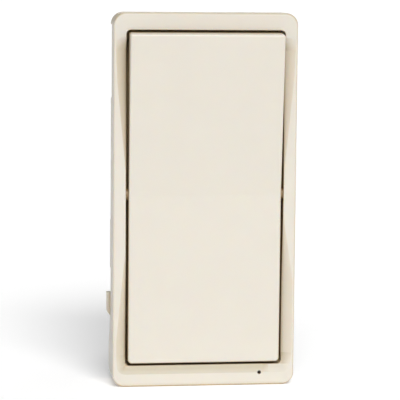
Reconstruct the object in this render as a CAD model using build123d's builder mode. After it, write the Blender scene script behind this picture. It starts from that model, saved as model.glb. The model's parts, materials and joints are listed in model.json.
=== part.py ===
from build123d import *

import os
from math import cos, radians, sin, sqrt, tan

# An in-wall smart switch without a strap of its own: a rocker in a rectangular
# face frame, with the relay module behind it. Millimetres, +Z up, +X to the
# right as seen from the front, and +Y into the wall. The origin lies in the
# plane of the two seat pads behind the frame, at the middle of the face.

# Face frame
FACE_W = 32.6
FACE_H = 66.4
FACE_DEPTH = 6.6
FACE_CORNER = 2.2
FACE_ROUND = 0.3
SIDE_RAIL = 2.25
TOP_RAIL = 3.05
BOTTOM_RAIL = 3.75
OPENING_CORNER = 0.75
OPENING_ROUND = 0.12
PAD_T = 0.3
PAD_W = 16.0
PAD_MARGIN = 0.2

# Rear edge of the side walls: reliefs, snap tab and corner skirts
SIDE_WALL_T = 1.1
UPPER_RELIEF = 2.2
UPPER_RELIEF_DROP = 15.2
MID_RELIEF = 0.8
MID_RELIEF_Z = -3.9
TAB_RELIEF = 1.2
TAB_SLOT = 4.5
TAB_RISE = 14.5
TAB_H = 3.4
TAB_OUT = 0.6
TAB_T = 1.5
TAB_SLOPE = 0.8
SKIRT_T = 1.2
SKIRT_BACK = 2.0
SKIRT_RISE = 11.2
SKIRT_FULL_RISE = 5.7
SKIRT_GAP_HALF = 9.6

# Finger scoops beside the rocker, the dish below it and the bends that join them.
# They slope into the opening, steeper towards it.
SCOOP_SLOPE = 28
TURN_SHARE = 0.5
SCOOP_NARROW = 0.05
UPPER_SCOOP_DROP = 4.2
UPPER_SCOOP_RAMP = 2.4
UPPER_SCOOP_HOLD = 5.6
UPPER_SCOOP_W = 1.85
UPPER_SCOOP_MID_W = 1.6
UPPER_SCOOP_FADE = 5.0
LOWER_SCOOP_RAMP = 2.0
LEFT_SCOOP_W = 1.6
LEFT_SCOOP_HOLD = 2.9
LEFT_SCOOP_FADE = -8.5
RIGHT_SCOOP_W = 1.85
RIGHT_SCOOP_HOLD = 12.9
RIGHT_SCOOP_FADE = -2.5
DISH_W = 1.5
DISH_SLOPE = 17
DISH_END_GAP = 2.4
DISH_RAMP = 0.9
BEND_SLOPE = 6
RELIEF_LIFT = 0.02

# Indicator pinhole and its light pipe
PIN_INSET = 6.25
PIN_RISE = 2.25
PIN_R = 0.33
PIN_WALL = 0.8
PIPE_R = 0.75
PIPE_GAP = 0.1
PIPE_BAR = 1.4
PIPE_W = 1.6
PIPE_LEG_RISE = 6.0

# Rocker paddle and its hinge
HINGE_Z = 1.05
HINGE_DEPTH = 1.6
CREASE_PROUD = 0.26
UPPER_TILT = 5.4
LOWER_TILT = 0.4
SIDE_GAP = 0.45
TOP_GAP = 0.4
BOTTOM_GAP = 0.4
PADDLE_WALL = 1.5
PADDLE_SIDE = 1.2
PADDLE_ROUND = 0.35
PADDLE_LOWER_CORNER = 0.7
PADDLE_UPPER_CORNER = 0.4
RIB_X = 6.0
RIB_T = 1.0
PADDLE_UPPER_SIDE = 0.9
PADDLE_FLOOR_GAP = 1.0
TRUNNION_R = 1.1
RUNNING_GAP = 0.05
PRESS_ANGLE = 7.0
LOWER_PRESS_ANGLE = 1.3

# Plungers between the rocker and the tactile switches
LEVER = 14.0
PAD_BOSS_R = 2.0
PAD_BEHIND_HINGE = 0.9
TIP_GAP = 0.06
DOME_R = 1.5
DOME_CAP_R = 1.2
DOME_TIP_TURN = 25
HEAD_R = 2.1
HEAD_T = 0.8
STEM_R = 1.3
GUIDE_R = 3.2
GUIDE_TACT_GAP = 1.3
WELL_R = 2.35
WELL_FLOOR = 4.0
STEM_TOUCH = 0.05
SPRING_R = 1.8
SPRING_WIRE_R = 0.18
SPRING_TURNS = 5.5
SPRING_SEAT = 0.02

# Chassis behind the rocker
FLANGE_T = 1.6
FLANGE_LIP = 0.9
FIT_GAP = 0.05
RIM_T = 1.0
RIM_BACK = 1.5
POST_R = 2.2

# Housing and rear cover
HOUSING_SIDE_INSET = 3.1
HOUSING_END_INSET = 3.0
DRAWN_INNER_W = 23.2
DRAWN_INNER_H = 57.2
HOUSING_CORNER = 1.2
WALL = 1.6
COVER_T = 2.2
SCREW_SPAN = 52.0
SCREW_R = 1.1
SCREW_HOLE_R = 1.2
SCREW_HEAD_R = 2.1
SCREW_HEAD_T = 1.3
SCREW_HEAD_GAP = 0.1
SCREW_TIP = 2.0
DRIVE_W = 0.6
DRIVE_L = 2.4
DRIVE_DEPTH = 0.7
WEB_T = 2.0
STANDOFF_R = 1.3
STANDOFF_X = 9.4
STANDOFF_Z = 14.0

# Control board and what it carries
BOARD_T = 1.6
BOARD_Y = 10.4
BOARD_SIDE_GAP = 0.2
BOARD_END_GAP = 0.4
TACT_W = 6.0
TACT_T = 3.1
TACT_STEM_R = 1.5
TACT_STEM_OUT = 1.0
TACT_STEM_IN = 1.4
TACT_FLOOR_GAP = 0.4
LED_W = 1.6
LED_H = 0.8
LED_T = 0.7
RADIO_W = 13.0
RADIO_H = 16.0
RADIO_T = 0.8
SHIELD_W = 11.0
SHIELD_H = 10.4
SHIELD_T = 1.9
SHIELD_MARGIN = 0.6
ANTENNA_W = 10.5
ANTENNA_RUN = 2.9
ANTENNA_TRACE = 0.5
ANTENNA_T = 0.12
ANTENNA_LEGS = 6
MCU_W = 7.0
CHIP_W = 4.4
CHIP_T = 1.1
CHIP_X = 6.2
CHIP_Z = 22.4
HEADER_PINS = 5
HEADER_PITCH = 2.54
HEADER_Z = 20.8
HEADER_W = 2.5
HEADER_BODY_T = 2.5
PIN_W = 0.64
PIN_FIT = 0.02

# Power board and what it carries
BOARD_SPACING = 10.0
DRAWN_SPACING = 10.0
COVER_GAP = 2.4
POWER_END_GAP = 2.0
TONGUE_W = 13.0
TONGUE_H = 4.2
CAP_R = 4.0
CAP_L = 11.0
CAP_X = 6.8
CAP_Z = -4.2
CAP_GROOVE = 0.35
FILM_W = 5.0
FILM_H = 11.0
FILM_FRONT_GAP = 1.0
FILM_X = -8.4
FILM_Z = -11.0
MOV_R = 3.6
MOV_T = 3.0
MOV_X = -2.4
MOV_Z = -9.5
LEAD_R = 0.3
LEAD_L = 1.0
BRIDGE_W = 4.6
BRIDGE_H = 3.9
BRIDGE_T = 2.5
BRIDGE_X = 1.0
BRIDGE_Z = -14.6
FUSE_R = 1.3
FUSE_L = 5.0
FUSE_CAP_R = 1.45
FUSE_CAP_L = 0.8
FUSE_X = 7.4
FUSE_Z = -14.6

# Transformer
CORE_W = 9.4
CORE_H = 11.0
CORE_T = 5.0
CORE_LEG = 1.4
CORE_YOKE = 1.6
CORE_MID = 2.6
CORE_X = 6.2
CORE_Z = 9.6
COIL_GAP = 0.05
COIL_CLEAR = 0.2
COIL_FRONT_GAP = 1.0

# Relay
RELAY_W = 12.4
RELAY_H = 16.0
RELAY_X = -5.0
RELAY_Z = 4.4
RELAY_FRONT_GAP = 0.6
RELAY_WALL = 0.6
RELAY_BASE_T = 1.2
BOBBIN_X = -7.2
YOKE_BACK_GAP = 0.15
BOBBIN_R = 2.6
BOBBIN_DRUM_R = 1.8
BOBBIN_FLANGE = 0.6
BOBBIN_L = 10.4
WINDING_R = 2.4
RELAY_CORE_R = 1.3
RELAY_HEAD_R = 2.3
RELAY_HEAD_T = 0.5
YOKE_T = 0.8
YOKE_W = 4.0
ARMATURE_W = 4.8
ARMATURE_T = 0.7
ARMATURE_L = 6.8
ARMATURE_ANGLE = 5.0
ARMATURE_GAP = 0.05
ARMATURE_HEEL = 0.45
PIVOT_IN = 0.4
PIVOT_R = 0.25
BLADE_T = 0.2
BLADE_W = 2.4
CONTACT_R = 0.9
CONTACT_T = 0.7
CONTACT_X = -1.6
CONTACT_REACH = 5.0
POST_W = 2.0
POST_T = 0.5

# Screw terminals
TERMINAL_Z = 23.0
TERMINAL_BOARD_GAP = 2.0
TERMINAL_H = 9.0
TERMINAL_SHIFT = 1.0
TERMINAL_DEPTH = 7.0
TERMINAL_T = 0.7
TAIL_W = 1.5
CLAMP_T = 1.0
WIRE_GAP = 2.8
PORT_R = 1.4
PORT_SIDE = 3.3
CLAMP_SCREW_R = 1.75
CLAMP_SCREW_GAP = 0.03
CLAMP_SCREW_HEAD_R = 2.9
CLAMP_SCREW_HEAD_T = 1.4
CLAMP_SCREW_TAIL = 0.6
HEAD_WINDOW_GAP = 0.2

OVERRUN = 1.0

# Places worked out from the sizes above
HALF_FACE_W = FACE_W / 2
HALF_FACE_H = FACE_H / 2
FACE_Y = -FACE_DEPTH
REAR_Y = -PAD_T
FLANGE_Y = REAR_Y - FLANGE_T
OPENING_W = FACE_W - 2 * SIDE_RAIL
OPENING_H = FACE_H - TOP_RAIL - BOTTOM_RAIL
OPENING_RISE = (BOTTOM_RAIL - TOP_RAIL) / 2
HALF_OPENING = OPENING_W / 2
OPENING_TOP = OPENING_RISE + OPENING_H / 2
OPENING_BOTTOM = OPENING_RISE - OPENING_H / 2
REBATE_HALF = HALF_OPENING + FLANGE_LIP
REBATE_TOP = OPENING_TOP + FLANGE_LIP
REBATE_BOTTOM = OPENING_BOTTOM - FLANGE_LIP
UPPER_RELIEF_Z = HALF_FACE_H - UPPER_RELIEF_DROP
TAB_Z = TAB_RISE - HALF_FACE_H
SKIRT_Z = SKIRT_RISE - HALF_FACE_H
SKIRT_FULL_Z = SKIRT_FULL_RISE - HALF_FACE_H
UPPER_SCOOP_TOP = HALF_FACE_H - UPPER_SCOOP_DROP
PIN_X = HALF_FACE_W - PIN_INSET
PIN_Z = PIN_RISE - HALF_FACE_H
PIPE_LEG_Z = PIPE_LEG_RISE - HALF_FACE_H
HINGE_Y = FACE_Y + HINGE_DEPTH
CREASE_Y = FACE_Y - CREASE_PROUD
HALF_PADDLE = HALF_OPENING - SIDE_GAP
UPPER_REACH = sqrt(HINGE_DEPTH**2 + (OPENING_TOP - HINGE_Z) ** 2) - TOP_GAP
LOWER_REACH = HINGE_Z - OPENING_BOTTOM - BOTTOM_GAP
PADDLE_BACK_TOP = FACE_Y + PADDLE_UPPER_SIDE
PADDLE_BACK_BOTTOM = FLANGE_Y - PADDLE_FLOOR_GAP
PAD_Y = HINGE_Y + PAD_BEHIND_HINGE
TIP_Y = PAD_Y + TIP_GAP
HEAD_Y = TIP_Y + DOME_R - sqrt(DOME_R**2 - DOME_CAP_R**2)
HEAD_BACK = HEAD_Y + HEAD_T
TACT_Y = BOARD_Y - TACT_T
STEM_TIP = TACT_Y - TACT_STEM_OUT
GUIDE_END = TACT_Y - GUIDE_TACT_GAP
WELL_END = GUIDE_END - WELL_FLOOR
BOARD_BACK = BOARD_Y + BOARD_T
POWER_Y = BOARD_BACK + BOARD_SPACING
POWER_BACK = POWER_Y + BOARD_T
HOUSING_BACK = POWER_BACK + COVER_GAP
COVER_BACK = HOUSING_BACK + COVER_T
TERMINAL_Y = POWER_Y - TERMINAL_BOARD_GAP
COIL_FRONT = BOARD_BACK + COIL_FRONT_GAP
RELAY_FRONT = BOARD_BACK + RELAY_FRONT_GAP
FILM_T = BOARD_SPACING - FILM_FRONT_GAP
MID_Z = OPENING_RISE
HOUSING_W = FACE_W - 2 * HOUSING_SIDE_INSET
HOUSING_H = FACE_H - 2 * HOUSING_END_INSET
HALF_HOUSING = HOUSING_W / 2
INNER_HALF = HALF_HOUSING - WALL
BOARD_W = HOUSING_W - 2 * WALL - 2 * BOARD_SIDE_GAP
BOARD_H = HOUSING_H - 2 * WALL - 2 * BOARD_END_GAP

# What the housing holds keeps its share of the room when the housing changes
ACROSS = (HOUSING_W - 2 * WALL) / DRAWN_INNER_W
ALONG = (HOUSING_H - 2 * WALL) / DRAWN_INNER_H
DEEP = BOARD_SPACING / DRAWN_SPACING
EVENLY = min(ACROSS, ALONG, DEEP)


def share(factor, *sizes):
    """The sizes, each times the factor."""
    return [size * factor for size in sizes]


tongue_w, standoff_x, header_pitch, chip_x = share(ACROSS, TONGUE_W, STANDOFF_X, HEADER_PITCH, CHIP_X)
radio_w, shield_w, antenna_w = share(ACROSS, RADIO_W, SHIELD_W, ANTENNA_W)
cap_x, film_x, film_w, mov_x, mov_t = share(ACROSS, CAP_X, FILM_X, FILM_W, MOV_X, MOV_T)
bridge_x, bridge_w, fuse_x = share(ACROSS, BRIDGE_X, BRIDGE_W, FUSE_X)
fuse_l, fuse_cap_l = share(ACROSS, FUSE_L, FUSE_CAP_L)
core_x, core_w, core_leg, core_mid, relay_x = share(ACROSS, CORE_X, CORE_W, CORE_LEG, CORE_MID, RELAY_X)
relay_w, bobbin_x, contact_x = share(ACROSS, RELAY_W, BOBBIN_X, CONTACT_X)
yoke_w, armature_w = share(ACROSS, YOKE_W, ARMATURE_W)
terminal_t, wire_gap = share(ACROSS, TERMINAL_T, WIRE_GAP)
clamp_t, clamp_screw_tail = share(ACROSS, CLAMP_T, CLAMP_SCREW_TAIL)
lever, screw_span, standoff_z = share(ALONG, LEVER, SCREW_SPAN, STANDOFF_Z)
header_z, header_w = share(ALONG, HEADER_Z, HEADER_W)
chip_z, radio_h, shield_h, antenna_run = share(ALONG, CHIP_Z, RADIO_H, SHIELD_H, ANTENNA_RUN)
tongue_h, cap_z, cap_l, film_z = share(ALONG, TONGUE_H, CAP_Z, CAP_L, FILM_Z)
film_h, mov_z, bridge_z, bridge_h, fuse_z = share(ALONG, FILM_H, MOV_Z, BRIDGE_Z, BRIDGE_H, FUSE_Z)
core_z, core_h, core_yoke = share(ALONG, CORE_Z, CORE_H, CORE_YOKE)
relay_z, relay_h, bobbin_l = share(ALONG, RELAY_Z, RELAY_H, BOBBIN_L)
terminal_z, terminal_h = share(ALONG, TERMINAL_Z, TERMINAL_H)
terminal_shift, port_side = share(ALONG, TERMINAL_SHIFT, PORT_SIDE)
power_h = 2 * (terminal_z + terminal_shift - terminal_h / 2 - POWER_END_GAP)
armature_l, contact_reach, blade_w = share(DEEP, ARMATURE_L, CONTACT_REACH, BLADE_W)
tact_w, mcu_w, chip_w = share(EVENLY, TACT_W, MCU_W, CHIP_W)
post_r, standoff_r, port_r = share(EVENLY, POST_R, STANDOFF_R, PORT_R)
cap_r, mov_r, fuse_r, fuse_cap_r = share(EVENLY, CAP_R, MOV_R, FUSE_R, FUSE_CAP_R)
bobbin_r, bobbin_drum_r, winding_r = share(EVENLY, BOBBIN_R, BOBBIN_DRUM_R, WINDING_R)
relay_core_r, relay_head_r, contact_r = share(EVENLY, RELAY_CORE_R, RELAY_HEAD_R, CONTACT_R)

UPPER_LEVER_Z = HINGE_Z + lever
LOWER_LEVER_Z = HINGE_Z - lever
SCREW_PLACES = ((0, MID_Z + screw_span / 2), (0, MID_Z - screw_span / 2))

os.makedirs("parts", exist_ok=True)


def save(piece, node):
    """Label a finished piece with its node's name and write it."""
    piece.part.label = node
    export_step(piece.part, f"parts/{node}.step")


def depth_plane(depth):
    """A plane parallel to the face, with X to the right and Z up."""
    return Plane.XZ.offset(-depth)


def slab(low, high, mode=Mode.ADD):
    """A box between its lowest and highest corners."""
    middle = tuple((a + b) / 2 for a, b in zip(low, high))
    with Locations(middle):
        Box(*[b - a for a, b in zip(low, high)], mode=mode)


def rod_x(start, end, y, z, radius, mode=Mode.ADD):
    """A round bar along X."""
    with Locations(Location(((start + end) / 2, y, z), (0, 90, 0))):
        Cylinder(radius, abs(end - start), mode=mode)


def rod_y(x, z, front, back, radius, mode=Mode.ADD):
    """A round bar along Y."""
    with Locations(Location((x, (front + back) / 2, z), (90, 0, 0))):
        Cylinder(radius, back - front, mode=mode)


def rod_z(x, y, low, high, radius, mode=Mode.ADD):
    """A round bar along Z."""
    with Locations((x, y, (low + high) / 2)):
        Cylinder(radius, high - low, mode=mode)


def relief_outline(width, slope, inward):
    """Outline of a cut that slopes into the opening, from the opening's edge outwards, and inwards
    past it by the given length. With no slope it lies just proud of the face, and the cut runs out."""
    depth = width * tan(radians(slope)) if slope else -RELIEF_LIFT
    turn = max(slope, BEND_SLOPE) * TURN_SHARE
    rim_slope = max(slope, BEND_SLOPE) - turn
    chord = sqrt(width**2 + depth**2)
    sag = chord / 2 * tan(radians(turn) / 2)
    middle = (width / 2 - sag * depth / chord, depth / 2 - sag * width / chord)
    ThreePointArc((width, 0), middle, (0, depth))
    corners = [(0, depth)]
    if inward:
        corners.append((-inward, depth + inward * tan(radians(slope + turn))))
    corners += [
        (-inward, -OVERRUN),
        (width + OVERRUN, -OVERRUN),
        (width + OVERRUN, -OVERRUN * tan(radians(rim_slope))),
        (width, 0),
    ]
    Polyline(*corners)


def relief(outward, spots):
    """A run of relief through spots, each with its place on the opening's edge, its width and slope."""
    along = Vector(*outward).cross(Vector(0, 1, 0))
    sections = []
    for place, width, slope in spots:
        with BuildSketch(Plane(origin=place, x_dir=outward, z_dir=along)) as section:
            with BuildLine():
                relief_outline(width, slope, OVERRUN)
            make_face()
        sections.append(section.sketch)
    loft(sections=sections, ruled=True, mode=Mode.SUBTRACT)


def scoop(side, spots):
    """A thumb scoop in a side rail, through spots of height, width and slope."""
    places = [((side * HALF_OPENING, FACE_Y, z), width, slope) for z, width, slope in spots]
    relief((side, 0, 0), places)


def bend(side, slope):
    """Carry the relief round a lower corner of the opening."""
    place = (side * HALF_OPENING, FACE_Y, OPENING_BOTTOM)
    with BuildSketch(Plane(origin=place, x_dir=(side, 0, 0), z_dir=(0, 0, side))) as section:
        with BuildLine():
            relief_outline(DISH_W, slope, 0)
        make_face()
    turning = Axis(place, (0, side, 0))
    revolve(section.sketch, axis=turning, revolution_arc=90, mode=Mode.SUBTRACT)


# Face frame
with BuildPart() as face_frame:
    with BuildSketch(depth_plane(REAR_Y)):
        RectangleRounded(FACE_W, FACE_H, FACE_CORNER)
        with Locations((0, OPENING_RISE)):
            RectangleRounded(OPENING_W, OPENING_H, OPENING_CORNER, mode=Mode.SUBTRACT)
    extrude(amount=REAR_Y - FACE_Y)
    front_face = face_frame.faces().sort_by(Axis.Y)[0]
    fillet(front_face.outer_wire().edges(), FACE_ROUND)
    front_face = face_frame.faces().sort_by(Axis.Y)[0]
    fillet(front_face.inner_wires()[0].edges(), OPENING_ROUND)
    full_z = UPPER_SCOOP_TOP - UPPER_SCOOP_RAMP
    upper_spots = (
        (UPPER_SCOOP_TOP, UPPER_SCOOP_W, 0),
        (full_z, UPPER_SCOOP_W, SCOOP_SLOPE),
        (full_z - UPPER_SCOOP_HOLD, UPPER_SCOOP_MID_W, SCOOP_SLOPE),
        (UPPER_SCOOP_FADE, SCOOP_NARROW, SCOOP_SLOPE),
    )
    full_z = OPENING_BOTTOM + LOWER_SCOOP_RAMP
    lower_sizes = (
        (-1, LEFT_SCOOP_W, LEFT_SCOOP_HOLD, LEFT_SCOOP_FADE, DISH_SLOPE),
        (1, RIGHT_SCOOP_W, RIGHT_SCOOP_HOLD, RIGHT_SCOOP_FADE, BEND_SLOPE),
    )
    for side, width, hold, fade_z, bend_slope in lower_sizes:
        lower_spots = (
            (OPENING_BOTTOM, DISH_W, bend_slope),
            (full_z, width, SCOOP_SLOPE),
            (full_z + hold, width, SCOOP_SLOPE),
            (fade_z, SCOOP_NARROW, SCOOP_SLOPE),
        )
        scoop(side, upper_spots)
        scoop(side, lower_spots)
        bend(side, bend_slope)
    dish_end = HALF_OPENING - DISH_END_GAP
    dish_spots = (
        (-HALF_OPENING, DISH_SLOPE),
        (dish_end - DISH_RAMP, DISH_SLOPE),
        (dish_end, BEND_SLOPE),
        (HALF_OPENING, BEND_SLOPE),
    )
    dish_places = [((x, FACE_Y, OPENING_BOTTOM), DISH_W, slope) for x, slope in dish_spots]
    relief((0, 0, -1), dish_places)
    # The corner skirts and the snap tabs reach back beside the mounting strap
    with BuildSketch(depth_plane(SKIRT_BACK)):
        RectangleRounded(FACE_W, FACE_H, FACE_CORNER)
        RectangleRounded(
            FACE_W - 2 * SKIRT_T, FACE_H - 2 * SKIRT_T, FACE_CORNER - SKIRT_T, mode=Mode.SUBTRACT
        )
        with Locations((0, SKIRT_Z)):
            Rectangle(FACE_W, FACE_H, align=(Align.CENTER, Align.MIN), mode=Mode.SUBTRACT)
        Rectangle(2 * SKIRT_GAP_HALF, FACE_H, mode=Mode.SUBTRACT)
    extrude(amount=SKIRT_BACK - REAR_Y)
    with BuildSketch(Plane.YZ) as skirt_slope:
        with BuildLine():
            Polyline(
                (REAR_Y, SKIRT_Z),
                (SKIRT_BACK, SKIRT_FULL_Z),
                (SKIRT_BACK + OVERRUN, SKIRT_FULL_Z),
                (SKIRT_BACK + OVERRUN, SKIRT_Z + OVERRUN),
                (REAR_Y, SKIRT_Z + OVERRUN),
                close=True,
            )
        make_face()
    extrude(amount=FACE_W, both=True, mode=Mode.SUBTRACT)
    for side in (-1, 1):
        outer = side * (HALF_FACE_W + OVERRUN)
        inner = side * (HALF_FACE_W - SIDE_WALL_T)
        low_x, high_x = sorted((outer, inner))
        reliefs = (
            (UPPER_RELIEF_Z, HALF_FACE_H - FACE_CORNER, UPPER_RELIEF),
            (MID_RELIEF_Z, UPPER_RELIEF_Z, MID_RELIEF),
            (TAB_Z + TAB_H / 2, TAB_Z + TAB_H / 2 + TAB_SLOT, TAB_RELIEF),
        )
        for low_z, high_z, relief in reliefs:
            slab(
                (low_x, REAR_Y - relief, low_z),
                (high_x, REAR_Y + OVERRUN, high_z),
                mode=Mode.SUBTRACT,
            )
        tab_root = side * (HALF_FACE_W - SIDE_WALL_T)
        tab_tip = side * (HALF_FACE_W + TAB_OUT)
        tab_low = TAB_Z - TAB_H / 2
        with BuildSketch(depth_plane(REAR_Y + TAB_T / 2)):
            with BuildLine():
                Polyline(
                    (tab_root, tab_low + TAB_H),
                    (tab_tip, tab_low + TAB_H),
                    (tab_tip, tab_low),
                    (side * HALF_FACE_W, tab_low - TAB_SLOPE),
                    (tab_root, tab_low - TAB_SLOPE),
                    close=True,
                )
            make_face()
        extrude(amount=TAB_T)
    # Rear rebate for the chassis flange, open slots for the trunnions
    slab(
        (-REBATE_HALF, FLANGE_Y, REBATE_BOTTOM),
        (REBATE_HALF, REAR_Y + OVERRUN, REBATE_TOP),
        mode=Mode.SUBTRACT,
    )
    slot_r = TRUNNION_R + RUNNING_GAP
    rod_x(-REBATE_HALF, REBATE_HALF, HINGE_Y, HINGE_Z, slot_r, mode=Mode.SUBTRACT)
    slab(
        (-REBATE_HALF, HINGE_Y, HINGE_Z - slot_r),
        (REBATE_HALF, FLANGE_Y + OVERRUN, HINGE_Z + slot_r),
        mode=Mode.SUBTRACT,
    )
    # Pinhole, with the light pipe's pocket behind it
    rod_y(PIN_X, PIN_Z, FACE_Y - OVERRUN, REAR_Y, PIN_R, mode=Mode.SUBTRACT)
    rod_y(PIN_X, PIN_Z, FACE_Y + PIN_WALL, REAR_Y + OVERRUN, PIPE_R + PIPE_GAP, mode=Mode.SUBTRACT)
    slab(
        (PIN_X - PIPE_W / 2 - PIPE_GAP, REAR_Y - PIPE_BAR, PIN_Z - PIPE_W / 2 - PIPE_GAP),
        (PIN_X + PIPE_W / 2 + PIPE_GAP, REAR_Y + OVERRUN, REBATE_BOTTOM + OVERRUN),
        mode=Mode.SUBTRACT,
    )
    # Seat pads
    slab(
        (-PAD_W / 2, REAR_Y - PAD_MARGIN, REBATE_TOP + PAD_MARGIN),
        (PAD_W / 2, 0, HALF_FACE_H - PAD_MARGIN),
    )
    slab(
        (-PAD_W / 2, REAR_Y - PAD_MARGIN, -HALF_FACE_H + PAD_MARGIN),
        (PAD_W / 2, 0, REBATE_BOTTOM - PAD_MARGIN),
    )
save(face_frame, "face_frame")


def swing_point(reach, y, sign):
    """The point at depth y on a circle about the hinge, above it or below it."""
    return (y, HINGE_Z + sign * sqrt(reach**2 - (y - HINGE_Y) ** 2))


def face_point(reach, offset, tilt, sign):
    """Where a tilted half of the face meets a circle about the hinge."""
    setback = HINGE_Y - CREASE_Y - offset
    lean = sin(radians(tilt)) * sign
    run = -setback * lean + sqrt(reach**2 - setback**2 * cos(radians(tilt)) ** 2)
    return (CREASE_Y + offset - run * lean, HINGE_Z + sign * run * cos(radians(tilt)))


def paddle_profile(offset, inset):
    """Outline of the rocker's side, moved back by offset with its ends drawn in by inset."""
    upper = UPPER_REACH - inset
    lower = LOWER_REACH - inset
    top_front = face_point(upper, offset, UPPER_TILT, 1)
    low_front = face_point(lower, offset, LOWER_TILT, -1)
    top_back = swing_point(upper, PADDLE_BACK_TOP, 1)
    low_back = swing_point(lower, PADDLE_BACK_BOTTOM, -1)
    Line((CREASE_Y + offset, HINGE_Z), top_front)
    top_mid = swing_point(upper, (top_front[0] + top_back[0]) / 2, 1)
    ThreePointArc(top_front, top_mid, top_back)
    if inset:
        Polyline(
            top_back,
            (top_back[0] + FACE_DEPTH, top_back[1]),
            (low_back[0] + FACE_DEPTH, low_back[1]),
            low_back,
        )
    else:
        Line(top_back, low_back)
    low_mid = swing_point(lower, (low_front[0] + low_back[0]) / 2, -1)
    ThreePointArc(low_back, low_mid, low_front)
    Line(low_front, (CREASE_Y + offset, HINGE_Z))


# Rocker paddle, hollow behind, with its trunnions and the two plunger pads
with BuildPart() as rocker_paddle:
    with BuildSketch(Plane.YZ):
        with BuildLine():
            paddle_profile(0, 0)
        make_face()
    extrude(amount=HALF_PADDLE, both=True)
    end_edges = rocker_paddle.edges().filter_by(GeomType.CIRCLE).sort_by(Axis.Z)
    fillet(end_edges[:2], PADDLE_LOWER_CORNER)
    end_edges = rocker_paddle.edges().filter_by(GeomType.CIRCLE).sort_by(Axis.Z)
    fillet(end_edges[-2:], PADDLE_UPPER_CORNER)
    fronts = rocker_paddle.faces().filter_by(GeomType.PLANE).sort_by(Axis.Y)[:2]
    crease_edges = rocker_paddle.edges().filter_by(Axis.X).sort_by(
        lambda edge: abs(edge.center().Z - HINGE_Z) + abs(edge.center().Y - CREASE_Y)
    )
    outline = [edge for face in fronts for edge in face.edges()]
    crease_mid = crease_edges[0].center()
    outline = [edge for edge in outline if (edge.center() - crease_mid).length > PADDLE_ROUND]
    fillet(outline, PADDLE_ROUND)
    with BuildSketch(Plane.YZ) as cavity:
        with BuildLine():
            paddle_profile(PADDLE_WALL, PADDLE_SIDE)
        make_face()
    extrude(amount=HALF_PADDLE - PADDLE_SIDE, both=True, mode=Mode.SUBTRACT)
    # Two ribs run the length of the cavity
    with BuildSketch(Plane.YZ) as rib_side:
        with BuildLine():
            paddle_profile(PADDLE_ROUND, PADDLE_ROUND)
        make_face()
        with BuildLine():
            Polyline(
                swing_point(UPPER_REACH, PADDLE_BACK_TOP, 1),
                (FACE_DEPTH, UPPER_REACH + HINGE_Z),
                (FACE_DEPTH, HINGE_Z - LOWER_REACH),
                swing_point(LOWER_REACH, PADDLE_BACK_BOTTOM, -1),
                close=True,
            )
        make_face(mode=Mode.SUBTRACT)
    rib_solid = extrude(rib_side.sketch, amount=RIB_T / 2, both=True, mode=Mode.PRIVATE)
    with Locations((-RIB_X, 0, 0), (RIB_X, 0, 0)):
        add(rib_solid)
    upper_wall_y = CREASE_Y + PADDLE_WALL / 2 - lever * tan(radians(UPPER_TILT))
    rod_y(0, UPPER_LEVER_Z, upper_wall_y, PAD_Y, PAD_BOSS_R)
    lower_wall_y = CREASE_Y + PADDLE_WALL / 2 + lever * tan(radians(LOWER_TILT))
    rod_y(0, LOWER_LEVER_Z, lower_wall_y, PAD_Y, PAD_BOSS_R)
    for side in (-1, 1):
        inner_end = side * (HALF_PADDLE - PADDLE_SIDE / 2)
        outer_end = side * (REBATE_HALF - RUNNING_GAP)
        rod_x(inner_end, outer_end, HINGE_Y, HINGE_Z, TRUNNION_R)
save(rocker_paddle, "rocker_paddle")

# Light pipe from the pinhole back to the indicator on the control board
with BuildPart() as light_pipe:
    rod_y(PIN_X, PIN_Z, FACE_Y + PIN_WALL + PIPE_GAP, REAR_Y - PIPE_BAR / 2, PIPE_R)
    slab(
        (PIN_X - PIPE_W / 2, REAR_Y - PIPE_BAR, PIN_Z - PIPE_W / 2),
        (PIN_X + PIPE_W / 2, REAR_Y, PIPE_LEG_Z + PIPE_W / 2),
    )
    slab(
        (PIN_X - PIPE_W / 2, REAR_Y, PIPE_LEG_Z - PIPE_W / 2),
        (PIN_X + PIPE_W / 2, BOARD_Y - LED_T - PIPE_GAP, PIPE_LEG_Z + PIPE_W / 2),
    )
save(light_pipe, "light_pipe")

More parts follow.
